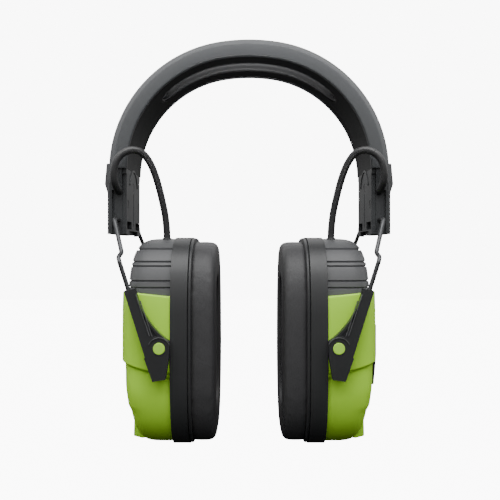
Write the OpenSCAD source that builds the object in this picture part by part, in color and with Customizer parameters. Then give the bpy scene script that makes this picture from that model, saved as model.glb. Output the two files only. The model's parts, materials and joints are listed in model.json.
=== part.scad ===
// Electronic over-head earmuff hearing protector.
// The origin is the middle of the headband pad's underside at the crown, where the band rests on the head.
// +X is the wearer's left-to-right line, +Y runs from front to back and +Z is up.
// Parts of the right cup are drawn with X outward, and the left cup's are their mirror image.

/* [Headband] */
// Depth of the headband from front to back
band_depth = 42.4; // [40:0.2:44]
// Radius of the band's outer face over the crown
crown_r = 98; // [92:1:104]
// Angle from vertical at which the crown arc meets the shoulder arc
crown_angle = 9; // [8:0.5:10]
// Radius of the band's outer face over the shoulders
shoulder_r = 67.6; // [66.5:0.1:68.5]
// Thickness of the band
band_t = 9.3; // [9:0.1:9.6]
// Depth of the pocket under the crown
pocket_depth = 4.6; // [3:0.1:4.7]
// Width of the pocket under the crown
pocket_w = 15; // [12:0.5:18]

/* [End caps and wire] */
// Bottom of each end cap below the crown rest
cap_drop = 91.6; // [90:0.2:94]
// Swivel axis below the crown rest
swivel_drop = 84.3; // [83:0.1:85]
// Swivel axis out from the middle
swivel_x = 67.3; // [67:0.1:67.6]
// Radius of the yoke's spring wire
wire_r = 1.05; // [1:0.01:1.1]
// Radial clearance of the wire in its bores
wire_fit = 0.07; // [0.03:0.01:0.1]
// Lean of the yoke from vertical
yoke_lean = 17.5; // [17:0.1:18]
// Thickness of a yoke arm
arm_t = 4; // [3.8:0.1:4.2]

/* [Cups] */
// Height of a cup's rim
rim_h = 108; // [106:0.5:110]
// Depth of a cup's rim from front to back
rim_depth = 78; // [76:0.5:78.4]
// Squareness of the cup's oval, where 2 is an ellipse
oval_power = 3.3; // [3:0.1:3.6]
// Middle of the cups below the crown rest
cup_drop = 147; // [146.5:0.1:147.5]
// How far the shell stands out from the rim
shell_out = 26.3; // [26:0.1:26.8]
// Wall of the shell and its dome
wall = 2.2; // [2:0.1:2.3]
// Gap between the two ear cushions
cushion_gap = 33; // [31:0.5:35]
// Width of the ear opening
ear_w = 38; // [34:1:42]
// Height of the ear opening
ear_h = 62; // [58:1:66]

/* [Cable loops] */
// Radius of each cable loop's sleeve
cable_r = 1.65; // [1.5:0.05:1.7]

/* [Hidden] */
$fn = 64;

// Centre of the crown arc and of the right shoulder arc, in X and Z
crown_c = [0, band_t - crown_r];
shoulder_c = crown_c + (crown_r - shoulder_r) * [sin(crown_angle), cos(crown_angle)];
band_end_z = shoulder_c.y;
half_d = band_depth / 2;

// Cup frame
cup_z = -cup_drop;
rim_outer_x = 38.5;
plate_outer_x = 30;
cushion_back_x = 28.2;
cushion_x = cushion_gap / 2;
shell_b = rim_depth / 2 - 0.8;
shell_h = rim_h / 2 - 0.7;
seam_z = -122.4;
lip = 4;
dome_fit = 0.2;
dome_power = 5.5;

// Yoke arm and pivot, in X and Z
pin_x = 43;
pin_head_r = 2.85;
pin_shank_r = 1.5;
arm_y = rim_depth / 2 + 0.4;
wire_y = arm_y + arm_t / 2;
wire_end_z = -148;
lean_dir = [sin(yoke_lean), 0, cos(yoke_lean)];
kink_end = [61.76, wire_y, -107];

// Route of the right cable loop, from the end cap to the dome, front at -Y
cable_route = [
    [67, -13.6, -69.6], [67, -17, -69.6], [67, -20.4, -69.4], [67.3, -23.6, -68],
    [67.8, -26, -65.6], [68, -27.2, -62.4], [67.7, -27.8, -58.9], [66.7, -28, -55.4],
    [64.7, -27.7, -52.4], [61.9, -27.2, -50.3], [58.6, -26.4, -49.3], [55.3, -25, -49.9],
    [52.6, -23.2, -52.2], [50.3, -21.2, -56], [48.4, -19.1, -61.1], [46.8, -17, -67.1],
    [45.4, -15.1, -73.7], [44.2, -13.3, -80.4], [43.5, -12, -87.2], [43.3, -11.2, -92.6],
    [43.3, -11, -97]
];

// ---------- functions ----------

function signed_pow(v, e) = sign(v) * pow(abs(v), e);
function unit(v) = v / norm(v);

// One point of a superellipse about the cup's middle, in Y and Z
function oval_at(b, h, a, n = oval_power) =
    [b * signed_pow(cos(a), 2 / n), cup_z + h * signed_pow(sin(a), 2 / n)];
function oval(b, h, steps = 48) = [for (i = [0:steps - 1]) oval_at(b, h, 360 * i / steps)];

// How far a pod of half depth b, half height h and reach d stands out at (y, z).
// Below the taper height the pod leans in.
taper_z = -155;
function taper(z) = 1 - 0.14 * max(0, taper_z - z) / 45;
function pod_ratio(y, z, b, h) = pow(
    pow(abs(y) / b, oval_power) + pow(abs(z - cup_z) / h, oval_power), 1 / oval_power);
function pod_x(y, z, b, h, d) = rim_outer_x + d * taper(z) *
    pow(max(0, 1 - pow(pod_ratio(y, z, b, h), dome_power)), 1 / dome_power);

// Angle on the oval at which it reaches height z
function oval_angle(z, h) = asin(signed_pow((z - cup_z) / h, oval_power / 2));

// A grid of points on a pod, rows from angle a0 to a1 and columns from front to back
pod_rows = 12;
pod_cols = 20;
least_w = 4;
function pod_row(b, h, d, a) =
    let (
        z = cup_z + h * signed_pow(sin(a), 2 / oval_power),
        w = max(least_w, b * pow(abs(cos(a)), 2 / oval_power))
    )
    [for (j = [0:pod_cols])
        let (y = w * signed_pow(sin(180 * j / pod_cols - 90), 2 / dome_power))
        [pod_x(y, z, b, h, d), y, z]];
function pod_grid(b, h, d, a0, a1) =
    [for (i = [0:pod_rows]) each pod_row(b, h, d, a0 + (a1 - a0) * i / pod_rows)];

// Two triangles for each cell of a grid, and both ways round
function cell(a, b, c, d, flip) = flip ? [[a, c, b], [a, d, c]] : [[a, b, c], [a, c, d]];
function grid_faces(rows, cols, first, flip) = [
    for (i = [0:rows - 1], j = [0:cols - 1])
        let (p = first + i * (cols + 1) + j)
        each cell(p, p + 1, p + cols + 2, p + cols + 1, flip)
];
function strip_faces(edge, shift, flip) = [
    for (i = [0:len(edge) - 2])
        each cell(edge[i], edge[i + 1], edge[i + 1] + shift, edge[i] + shift, flip)
];

// A tube's rings along a route, each turned as little as can be from the last
function blend_at(r, i, t) =
    let (
        a = r[max(0, i - 1)],
        b = r[i],
        c = r[i + 1],
        d = r[min(len(r) - 1, i + 2)]
    )
    0.5 * (2 * b + (c - a) * t + (2 * a - 5 * b + 4 * c - d) * t * t
        + (3 * b - a - 3 * c + d) * t * t * t);
function smooth_route(r, n) = concat(
    [for (i = [0:len(r) - 2], k = [0:n - 1]) blend_at(r, i, k / n)], [r[len(r) - 1]]);
function heading(p, i) = unit(p[min(i + 1, len(p) - 1)] - p[max(i - 1, 0)]);
function square_to(v, t) = unit(v - (v * t) * t);
function tube_ring(c, u, t, r, sides) =
    let (w = cross(t, u))
    [for (k = [0:sides - 1]) c + r * (cos(360 * k / sides) * u + sin(360 * k / sides) * w)];
function tube_points(p, r, sides, up) = [
    for (i = 0, u = square_to(up, heading(p, 0)); i < len(p);
        i = i + 1, u = square_to(u, heading(p, min(i, len(p) - 1))))
        each tube_ring(p[i], u, heading(p, i), r, sides)
];
function tube_faces(rings, sides) = concat(
    [[for (k = [0:sides - 1]) k]],
    [for (i = [0:rings - 2], k = [0:sides - 1])
        let (p = i * sides + k, q = i * sides + (k + 1) % sides)
        each [[p, p + sides, q + sides], [p, q + sides, q]]],
    [[for (k = [sides - 1:-1:0]) (rings - 1) * sides + k]]
);

// ---------- shape helpers ----------

// The right side as it is, or the left side as its mirror image
module on_side(side) {
    if (side > 0)
        children();
    else
        mirror([1, 0, 0]) children();
}

// Front and rear copies
module front_and_rear() {
    children();
    mirror([0, 1, 0]) children();
}

module along_x(x0, x1) {
    translate([x0, 0, 0]) rotate([90, 0, 90]) linear_extrude(x1 - x0) children();
}

// A 2D outline in X and Z, extruded along Y
module along_y(y0, y1) {
    translate([0, y1, 0]) rotate([90, 0, 0]) linear_extrude(y1 - y0) children();
}

module rod_x(x0, x1, y, z, r) {
    translate([x0, y, z]) rotate([0, 90, 0]) cylinder(h = x1 - x0, r = r);
}

module rod_y(y0, y1, x, z, r) {
    translate([x, y0, z]) rotate([-90, 0, 0]) cylinder(h = y1 - y0, r = r);
}

module tube(route, r, sides, steps, up) {
    path = smooth_route(route, steps);
    polyhedron(tube_points(path, r, sides, up), tube_faces(len(path), sides));
}

// One place on the band, r above its underside, at an angle from vertical on the right
function band_at(a, r, y) = a < crown_angle
    ? [crown_c.x + (crown_r - band_t + r) * sin(a), y, crown_c.y + (crown_r - band_t + r) * cos(a)]
    : [shoulder_c.x + (shoulder_r - band_t + r) * sin(a), y,
        shoulder_c.y + (shoulder_r - band_t + r) * cos(a)];
function over_at(a, r, y) = let (p = band_at(abs(a), r, y)) [sign(a) * p.x, p.y, p.z];

// A section of [height above the band's underside, y] points, swept over the band from end to end
band_steps = 36;
module over_band(section, to_angle) {
    points = [for (i = [-band_steps:band_steps], j = [len(section) - 1:-1:0])
        over_at(to_angle * i / band_steps, section[j].x, section[j].y)];
    polyhedron(points, tube_faces(2 * band_steps + 1, len(section)));
}

// ---------- headband ----------

band_end = 89;
pocket_end = 39;
tongue = [3, 25, 22];
tongue_x = 68.4;
tongue_bottom = -77.6;
clamp_screw_z = -66;
side_screws = [16, -76];

module headband_cover() {
    skirt = 19.4;
    section = [
        [0.2, -half_d], [5.9, -half_d], [band_t, 4.9 - half_d], [band_t, half_d - 4.9],
        [5.9, half_d], [0.2, half_d], [0.2, skirt], [6.2, skirt], [6.2, -skirt], [0.2, -skirt]
    ];
    color("#303234") {
        over_band(section, band_end);
        for (m = [0, 1])
            mirror([m, 0, 0]) difference() {
                translate([tongue_x, -tongue.y / 2, tongue_bottom]) cube(tongue);
                rod_x(60, 75, 0, clamp_screw_z, 1.3);
            }
    }
}

module headband_spring() {
    strip = [[5.2, -11], [6.1, -11], [6.1, 11], [5.2, 11]];
    color("#9da2a5") over_band(strip, band_end - 6);
}

module headband_pad() {
    side = 19.3;
    profile = [
        [0, -side], [3.4, -side], [3.4, -12.2], [5.1, -12.2],
        [5.1, 12.2], [3.4, 12.2], [3.4, side], [0, side]
    ];
    color("#232425") difference() {
        over_band(profile, band_end);
        pocket();
    }
}

// The space of the pocket under the crown, with half-round ends
module pocket() {
    flat_steps = 24;
    end_steps = 5;
    half_w = pocket_w / 2;
    half_arc = pocket_end + half_w * (180 / PI) / (shoulder_r - band_t);
    function ends(a) = pow(max(0, (abs(a) - pocket_end) / (half_arc - pocket_end)), 2);
    angles = concat(
        [for (k = [end_steps:-1:1]) -pocket_end - (half_arc - pocket_end) * sin(90 * k / end_steps)],
        [for (i = [-flat_steps:flat_steps]) pocket_end * i / flat_steps],
        [for (k = [1:end_steps]) pocket_end + (half_arc - pocket_end) * sin(90 * k / end_steps)]
    );
    points = [for (a = angles)
        let (w = half_w * sqrt(max(0.0004, 1 - ends(a))))
        each [over_at(a, -2, w), over_at(a, pocket_depth, w),
            over_at(a, pocket_depth, -w), over_at(a, -2, -w)]];
    polyhedron(points, tube_faces(len(angles), 4));
}

lead_r = 1;
lead_y = -15.6;
lead_r_mid = 4.7;
lead_end_z = -67.7;

module headband_lead() {
    arc_steps = 20;
    over_head = [for (i = [-arc_steps:arc_steps])
        let (p = band_at(88 * abs(i) / arc_steps, lead_r_mid, lead_y))
        [i < 0 ? -p.x : p.x, p.y, p.z]];
    tail = [band_at(90, lead_r_mid, lead_y).x, lead_y, lead_end_z];
    path = concat([[-tail.x, tail.y, tail.z]], over_head, [tail]);
    color("#1a1a1b")
        polyhedron(tube_points(path, lead_r, 8, [0, 1, 0]), tube_faces(len(path), 8));
}

// ---------- end caps ----------

cap_side = 21;
cap_split_x = 65.2;
cap_outer_x = 72.8;
cap_top_z = band_end_z + 0.9;

module end_cap_outer(side) {
    lead_x = band_at(90, lead_r_mid, 0).x;
    bevelled = [[60, -21], [71.3, -21], [75.2, -16.3], [75.2, 16.3], [71.3, 21], [60, 21]];
    body = [
        [cap_split_x, -cap_side], [cap_outer_x - 1.2, -cap_side], [cap_outer_x, 1.2 - cap_side],
        [cap_outer_x, cap_side - 1.2], [cap_outer_x - 1.2, cap_side], [cap_split_x, cap_side]
    ];
    wing = [[72.5, -55.2], [73.7, -55.2], [75, -65.6], [74.2, -67.4], [72.8, -71], [72.5, -71]];
    color("#2e3032") on_side(side) difference() {
        union() {
            translate([0, 0, -cap_drop]) linear_extrude(cap_drop + cap_top_z) polygon(body);
            intersection() {
                along_y(-cap_side, cap_side) polygon(wing);
                translate([0, 0, -80]) linear_extrude(30) polygon(bevelled);
            }
        }
        front_and_rear()
            translate([60, -25, -cap_drop - 1]) cube([10.2, 5.7, cap_drop - 68]);
        translate([tongue_x - 0.2, -13, tongue_bottom - 0.6]) cube([tongue.x + 0.4, 26, 30]);
        rod_y(-30, 30, swivel_x, -swivel_drop, wire_r + wire_fit);
        rod_y(-30, -13.4, cable_route[0].x, cable_route[0].z, cable_r + 0.2);
        translate([lead_x, lead_y, -70]) cylinder(h = 14, r = lead_r + 0.2);
        rod_x(60, 72, 0, clamp_screw_z, 1.05);
        front_and_rear() rod_x(60, 72, side_screws[0], side_screws[1], 1.05);
    }
}

module end_cap_inner(side) {
    face_x = 63;
    top_z = cap_top_z;
    color("#2a2b2d") on_side(side) difference() {
        along_x(face_x, cap_split_x - 0.1) polygon([
            [-20.4, -cap_drop], [-12, -cap_drop - 0.8], [12, -cap_drop - 0.8], [20.4, -cap_drop],
            [20.4, top_z], [-20.4, top_z]
        ]);
        translate([60, -10, -cap_drop - 2]) cube([8, 20, 3.4]);
        front_and_rear() translate([60, 6, -89]) cube([8, 12, 4]);
        rod_x(60, 70, 0, clamp_screw_z, 1.3);
        rod_x(60, 64.2, 0, clamp_screw_z, 2.3);
        front_and_rear() {
            rod_x(60, 70, side_screws[0], side_screws[1], 1.3);
            rod_x(60, 64.2, side_screws[0], side_screws[1], 2.3);
        }
    }
}

module cap_screw(y, z) {
    rod_x(63.1, 64.2, y, z, 2.1);
    rod_x(64.2, 71.9, y, z, 1.05);
}

module end_cap_screws(side) {
    color("#8b9093") on_side(side) {
        cap_screw(0, clamp_screw_z);
        front_and_rear() cap_screw(side_screws[0], side_screws[1]);
    }
}

module link_cable(side) {
    color("#1c1c1d") on_side(side) tube(cable_route, cable_r, 8, 2, [1, 0, 0]);
}

// ---------- yoke ----------

module yoke_wire(side) {
    sweep_r = wire_r * 0.995;
    leg_start = 26;
    bend = [
        [67.3, 24.5, -84.3], [67.3, 26.8, -84.3], [67.1, 28.8, -85], [66.5, 30.2, -87],
        [65.4, 31.8, -90.6], [63.9, 34, -95.4], [62.6, 36, -99.4], [62.2, 36.9, -101],
        [62.6, 38.4, -102.2], [62.9, 40, -103.3], kink_end + 1.6 * lean_dir,
        kink_end, kink_end - 2 * lean_dir
    ];
    leg_len = (kink_end.z - wire_end_z) / lean_dir.z;
    color("#5c5f61") on_side(side) {
        rod_y(-leg_start, leg_start, swivel_x, -swivel_drop, wire_r);
        front_and_rear() {
            tube(bend, sweep_r, 10, 2, [1, 0, 0]);
            translate(kink_end) rotate([0, 180 + yoke_lean, 0]) cylinder(h = leg_len, r = wire_r);
        }
    }
}

module arm_outline() {
    difference() {
        polygon([
            [54.6, -118.2], [59.8, -119.4], [49.8, -151], [50.1, -151.8], [46.2, -162.8],
            [40, -161.8], [39.2, -157], [38.2, -150], [38.2, -143], [44, -130]
        ]);
        translate([15.4, -111.2]) circle(r = 39.7, $fn = 128);
    }
    translate([pin_x, cup_z]) circle(r = 4.8);
}

module yoke_arm(side, back) {
    bore_len = 46;
    color("#2b2c2d") on_side(side) mirror([0, back ? 0 : 1, 0]) difference() {
        along_y(arm_y, arm_y + arm_t) arm_outline();
        rod_y(arm_y - 1, arm_y + arm_t + 1, pin_x, cup_z, pin_head_r + 0.07);
        translate(kink_end) rotate([0, 180 + yoke_lean, 0])
            cylinder(h = 7 + bore_len, r = wire_r + wire_fit);
    }
}

module pivot_pins(side) {
    color("#9cc34d") on_side(side) front_and_rear() {
        rod_y(arm_y - 0.1, arm_y + arm_t + 0.4, pin_x, cup_z, pin_head_r);
        rod_y(33.4, arm_y, pin_x, cup_z, pin_shank_r);
    }
}

// ---------- cups ----------

// A shell of one pod inside another, open on the rim side and along one cut
module pod_shell(b, h, d, a_from, a_to, in_from, in_to) {
    count = (pod_rows + 1) * (pod_cols + 1);
    row = pod_cols + 1;
    first_row = [for (j = [0:pod_cols]) j];
    last_row = [for (j = [0:pod_cols]) pod_rows * row + j];
    first_col = [for (i = [0:pod_rows]) i * row];
    last_col = [for (i = [0:pod_rows]) i * row + pod_cols];
    polyhedron(
        concat(pod_grid(b, h, d, a_from, a_to),
            pod_grid(b - wall, h - wall, d - wall, in_from, in_to)),
        concat(grid_faces(pod_rows, pod_cols, 0, false),
            grid_faces(pod_rows, pod_cols, count, true),
            strip_faces(first_row, count, true), strip_faces(last_row, count, false),
            strip_faces(first_col, count, false), strip_faces(last_col, count, true))
    );
}

// Where the four screws that hold a rim to its shell are, in Y and Z
cup_screw_at = [for (y = [-28, 28], z = [-178, -130.5]) [y, z]];
function boss_end(p) =
    pod_x(abs(p.x) + 3, p.y + 3 * sign(p.y - cup_z), shell_b, shell_h, shell_out) - 0.8;
door_z = [-177.9, -133.6];
door_half = 16;
door_hinge = [61, -176.8];
button_z = [-145, -154, -163];
jack_z = -190;

module shell_body() {
    union() {
        pod_shell(shell_b, shell_h, shell_out, oval_angle(seam_z, shell_h), -90,
            oval_angle(seam_z, shell_h - wall), -90);
        front_and_rear() rod_y(33.6, arm_y - 0.2, pin_x, cup_z, 3.6);
        for (p = cup_screw_at)
            rod_x(rim_outer_x, boss_end(p), p.x, p.y, 3);
        foot();
    }
}

// The square foot at the bottom of the shell's outer face
module foot() {
    along_y(-7, 7) polygon([[57, -184], [61.4, -185], [61.8, -199.4], [57, -200.6], [50, -199.6]]);
}

module shell_bores() {
    front_and_rear() rod_y(33, arm_y, pin_x, cup_z, pin_shank_r);
    for (p = cup_screw_at)
        rod_x(rim_outer_x - 1, 50, p.x, p.y, 1.1);
}

module cup_shell_left() {
    color("#94c23c") on_side(-1) difference() {
        union() {
            shell_body();
            front_and_rear() translate([58.6, door_half + 0.6, -179.4]) cube([3.4, 3, 5.2]);
        }
        shell_bores();
        translate([50, -door_half - 0.3, door_z[0] - 1.5])
            cube([20, 2 * door_half + 0.6, door_z[1] - door_z[0] + 1.8]);
        rod_y(-door_half - 3, door_half + 3, door_hinge.x, door_hinge.y, 0.9);
    }
}

module cup_shell_right() {
    color("#94c23c") on_side(1) difference() {
        shell_body();
        shell_bores();
        for (z = button_z)
            rod_x(56, 70, 0, z, 4.4);
        rod_x(48, 70, 0, jack_z, 3.1);
    }
}

module cup_dome(side) {
    b = shell_b - wall - dome_fit;
    d = shell_out - wall - dome_fit;
    low_z = seam_z - lip;
    color("#4b4d4f") on_side(side) difference() {
        pod_shell(b, shell_h, d, 90, oval_angle(low_z, shell_h),
            90, oval_angle(low_z, shell_h - wall));
        translate([43.3, -11, -102]) cylinder(h = 12, r = 2.5);
    }
}

module cable_grommet(side) {
    color("#161616") on_side(side) translate([43.3, -11, -97.4]) difference() {
        cylinder(h = 4, r = 2.4);
        translate([0, 0, -1]) cylinder(h = 6, r = cable_r + 0.2);
    }
}

module cup_rim(side) {
    rim_wall = 3;
    color("#252627") on_side(side) {
        difference() {
            along_x(plate_outer_x + 0.1, rim_outer_x - 0.05) polygon(oval(rim_depth / 2, rim_h / 2));
            along_x(plate_outer_x - 1, 34.5) polygon(oval(rim_depth / 2 - rim_wall, rim_h / 2 - rim_wall));
            along_x(plate_outer_x - 1, rim_outer_x + 1) polygon(oval(26, 42));
            for (p = cup_screw_at)
                rod_x(30, 40, p.x, p.y, 1.3);
        }
    }
}

module cushion_plate(side) {
    color("#202021") on_side(side) difference() {
        along_x(cushion_back_x + 0.1, plate_outer_x) polygon(oval(rim_depth / 2 - 0.3, rim_h / 2 - 0.3));
        along_x(cushion_back_x - 1, plate_outer_x + 1) polygon(oval(ear_w / 2 + 3, ear_h / 2 + 3));
    }
}

// The cushion's section, as [x, inset from the outside], then [x, growth of the ear opening]
module ear_cushion(side) {
    steps = 36;
    outer_b = rim_depth / 2 - 2;
    outer_h = rim_h / 2 - 1.7;
    outside = [[cushion_back_x, 0], [20.5, 0], [17.8, 1.2], [cushion_x, 4.6]];
    inside = [[cushion_x, 3], [18.4, 0.8], [cushion_back_x, 0]];
    rings = concat(
        [for (p = outside) [p[0], outer_b - p[1], outer_h - p[1]]],
        [for (p = inside) [p[0], ear_w / 2 + p[1], ear_h / 2 + p[1]]]
    );
    n = len(rings);
    color("#2d2e2f") on_side(side) polyhedron(
        [for (g = rings, q = oval(g[1], g[2], steps)) [g[0], q.x, q.y]],
        [for (i = [0:n - 1], k = [0:steps - 1])
            let (
                a = i * steps + k,
                b = i * steps + (k + 1) % steps,
                c = ((i + 1) % n) * steps + (k + 1) % steps,
                d = ((i + 1) % n) * steps + k
            )
            each cell(a, b, c, d, false)]
    );
}

module acoustic_foam(side) {
    color("#3a3a3c") on_side(side) difference() {
        along_x(38.6, 41.6) polygon(oval(27, 43));
        for (p = cup_screw_at)
            rod_x(38, 42, p.x, p.y, 3.3);
    }
}

module speaker(side) {
    color("#55585a") on_side(side) {
        rod_x(41.7, 43.9, 0, cup_z, 18);
        rod_x(43.9, 46.4, 0, cup_z, 11);
    }
}

module cup_screws(side) {
    color("#8b9093") on_side(side)
        for (p = cup_screw_at) {
            rod_x(33, 34.4, p.x, p.y, 2.1);
            rod_x(34.4, 48, p.x, p.y, 1.1);
        }
}

hood_y = [-23, -9];
module microphone_hood(side) {
    color("#8dba39") on_side(side) hull() {
        for (y = hood_y) {
            translate([y < -15 ? 62.7 : 63.8, y, -124.6]) sphere(r = 0.8, $fn = 16);
            translate([y < -15 ? 63.1 : 64.3, y, -130.6]) sphere(r = 1.4, $fn = 16);
        }
    }
}

module microphone(side) {
    color("#6e7274") on_side(side) rod_x(59.2, 62, -15, -129.8, 2.8);
}

// ---------- left cup: battery ----------

cell_r = 5.2;
cell_len = 44;
cell_y = 6;
cell_x = 55.8;
cell_z = -177.4;

module battery_cells() {
    color("#b9a35a") on_side(-1) front_and_rear() translate([cell_x - 1.4, cell_y, cell_z]) {
        cylinder(h = cell_len - 1, r = cell_r);
        translate([0, 0, cell_len - 1]) cylinder(h = 1, r = 1.9);
    }
}

module battery_tray() {
    tray = [7, 27, 49];
    color("#3d3f41") on_side(-1) difference() {
        translate([cell_x - 9.2, -tray.y / 2, cell_z - 3]) cube(tray);
        front_and_rear() translate([cell_x - 1.4, cell_y, cell_z - 1.2])
            cylinder(h = cell_len + 3, r = cell_r + 0.2);
    }
}

module battery_contacts() {
    color("#c9ccce") on_side(-1) front_and_rear() {
        translate([cell_x - 1.4, cell_y, cell_z - 1]) cylinder(h = 0.9, r = 3.4);
        translate([cell_x - 1.4, cell_y, cell_z + cell_len + 0.1]) cylinder(h = 0.9, r = 3.4);
    }
}

// The door is a patch of the shell's own surface, with two knuckles at its lower edge
module battery_door() {
    rows = 10;
    cols = 10;
    count = (rows + 1) * (cols + 1);
    door_t = 1.9;
    patch = [for (i = [0:rows], j = [0:cols])
        let (
            y = door_half * (2 * j / cols - 1),
            z = door_z[0] + (door_z[1] - door_z[0]) * i / rows
        )
        [pod_x(y, z, shell_b, shell_h, shell_out), y, z]];
    edges = [
        [for (j = [0:cols]) j], [for (j = [0:cols]) rows * (cols + 1) + j],
        [for (i = [0:rows]) i * (cols + 1)], [for (i = [0:rows]) i * (cols + 1) + cols]
    ];
    color("#8dba39") on_side(-1) difference() {
        union() {
            polyhedron(
                concat(patch, [for (p = patch) p - [door_t, 0, 0]]),
                concat(grid_faces(rows, cols, 0, true), grid_faces(rows, cols, count, false),
                    strip_faces(edges[0], count, false), strip_faces(edges[1], count, true),
                    strip_faces(edges[2], count, true), strip_faces(edges[3], count, false))
            );
            front_and_rear() rod_y(9, door_half, door_hinge.x, door_hinge.y, 1.3);
        }
        rod_y(-door_half - 1, door_half + 1, door_hinge.x, door_hinge.y, 0.85);
    }
}

module battery_door_pin() {
    color("#8b9093") on_side(-1)
        rod_y(-door_half - 2.6, door_half + 2.6, door_hinge.x, door_hinge.y, 0.8);
}

// ---------- right cup: controls ----------

module circuit_board() {
    color("#2c5b3f") difference() {
        along_x(52.4, 54) translate([-16, -172]) square([32, 40]);
        rod_x(50, 56, 12, -136, 1.2);
        rod_x(50, 56, -12, -168, 1.2);
    }
}

pad_z = [-169.5, -138.5];
pad_half = 17;
module control_pad() {
    rows = 8;
    cols = 10;
    count = (rows + 1) * (cols + 1);
    proud = 1.2;
    patch = [for (i = [0:rows], j = [0:cols])
        let (
            y = pad_half * (2 * j / cols - 1),
            z = pad_z[0] + (pad_z[1] - pad_z[0]) * i / rows
        )
        [pod_x(y, z, shell_b, shell_h, shell_out) + 0.05, y, z]];
    edges = [
        [for (j = [0:cols]) j], [for (j = [0:cols]) rows * (cols + 1) + j],
        [for (i = [0:rows]) i * (cols + 1)], [for (i = [0:rows]) i * (cols + 1) + cols]
    ];
    color("#1e1f20") difference() {
        polyhedron(
            concat([for (p = patch) p + [proud, 0, 0]], patch),
            concat(grid_faces(rows, cols, 0, true), grid_faces(rows, cols, count, false),
                strip_faces(edges[0], count, false), strip_faces(edges[1], count, true),
                strip_faces(edges[2], count, true), strip_faces(edges[3], count, false))
        );
        for (z = button_z)
            rod_x(60, 70, 0, z, 4.2);
    }
}

module button(z) {
    color("#17181a") {
        rod_x(63.6, 67.6, 0, z, 3.9);
        rod_x(57, 63.6, 0, z, 1.6);
    }
}

module audio_jack() {
    color("#121212") difference() {
        rod_x(50, 61.3, 0, jack_z, 3);
        rod_x(51.5, 62, 0, jack_z, 1.8);
    }
}

// ---------- assembly ----------

headband_cover();
headband_spring();
headband_pad();
headband_lead();
end_cap_outer(-1);  // end_cap_outer_left
end_cap_outer(1);  // end_cap_outer_right
end_cap_inner(-1);  // end_cap_inner_left
end_cap_inner(1);  // end_cap_inner_right
end_cap_screws(-1);  // end_cap_screws_left
end_cap_screws(1);  // end_cap_screws_right
link_cable(-1);  // link_cable_left
link_cable(1);  // link_cable_right
yoke_wire(-1);  // yoke_wire_left
yoke_wire(1);  // yoke_wire_right
yoke_arm(-1, false);  // yoke_arm_front_left
yoke_arm(1, false);  // yoke_arm_front_right
yoke_arm(-1, true);  // yoke_arm_rear_left
yoke_arm(1, true);  // yoke_arm_rear_right
pivot_pins(-1);  // pivot_pins_left
pivot_pins(1);  // pivot_pins_right
cable_grommet(-1);  // cable_grommet_left
cable_grommet(1);  // cable_grommet_right
cup_shell_left();
cup_shell_right();
cup_dome(-1);  // cup_dome_left
cup_dome(1);  // cup_dome_right
cup_rim(-1);  // cup_rim_left
cup_rim(1);  // cup_rim_right
cushion_plate(-1);  // cushion_plate_left
cushion_plate(1);  // cushion_plate_right
ear_cushion(-1);  // ear_cushion_left
ear_cushion(1);  // ear_cushion_right
acoustic_foam(-1);  // acoustic_foam_left
acoustic_foam(1);  // acoustic_foam_right
speaker(-1);  // speaker_left
speaker(1);  // speaker_right
cup_screws(-1);  // cup_screws_left
cup_screws(1);  // cup_screws_right
microphone_hood(-1);  // microphone_hood_left
microphone_hood(1);  // microphone_hood_right
microphone(-1);  // microphone_left
microphone(1);  // microphone_right
battery_cells();
battery_tray();
battery_contacts();
battery_door();
battery_door_pin();
circuit_board();
control_pad();
button(button_z[0]);  // button_up
button(button_z[1]);  // button_power
button(button_z[2]);  // button_down
audio_jack();
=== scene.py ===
"""The looks of an electronic over-head earmuff hearing protector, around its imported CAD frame."""

import json
import math

import bmesh
import bpy
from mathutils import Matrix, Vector


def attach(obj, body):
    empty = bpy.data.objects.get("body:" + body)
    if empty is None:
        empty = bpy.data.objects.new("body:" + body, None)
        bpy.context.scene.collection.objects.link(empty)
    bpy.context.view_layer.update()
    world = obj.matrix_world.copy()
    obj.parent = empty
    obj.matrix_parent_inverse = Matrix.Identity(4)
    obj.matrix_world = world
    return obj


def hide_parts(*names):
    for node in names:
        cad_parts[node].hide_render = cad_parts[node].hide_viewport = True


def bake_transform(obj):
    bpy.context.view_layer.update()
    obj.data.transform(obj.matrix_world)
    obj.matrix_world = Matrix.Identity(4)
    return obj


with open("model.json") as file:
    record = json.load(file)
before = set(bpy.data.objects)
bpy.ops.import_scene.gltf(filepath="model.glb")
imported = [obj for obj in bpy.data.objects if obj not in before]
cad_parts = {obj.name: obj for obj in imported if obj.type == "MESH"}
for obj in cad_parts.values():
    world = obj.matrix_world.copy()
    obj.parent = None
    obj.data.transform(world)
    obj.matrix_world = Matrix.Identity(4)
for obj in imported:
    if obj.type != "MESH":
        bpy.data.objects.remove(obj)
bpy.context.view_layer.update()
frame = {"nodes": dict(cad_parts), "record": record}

# Lengths are in millimetres, and become metres when a mesh is made.
MM = 0.001
SIDES = {"left": -1, "right": 1}

# ---------- camera ----------


def add_camera(location, lens, shift_x):
    """A level camera that looks along +Y."""
    data = bpy.data.cameras.new("camera")
    data.lens = lens
    data.sensor_width = 36
    data.shift_x = shift_x
    data.clip_start = 0.01
    camera = bpy.data.objects.new("camera", data)
    camera.location = location
    camera.rotation_euler = (math.radians(90), 0, 0)
    bpy.context.collection.objects.link(camera)
    bpy.context.scene.camera = camera


add_camera(location=(0, -0.344, -0.0998), lens=45.36, shift_x=0.002)

# ---------- materials ----------


def node_input(shader, name, value):
    shader.inputs[name].default_value = value


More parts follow.
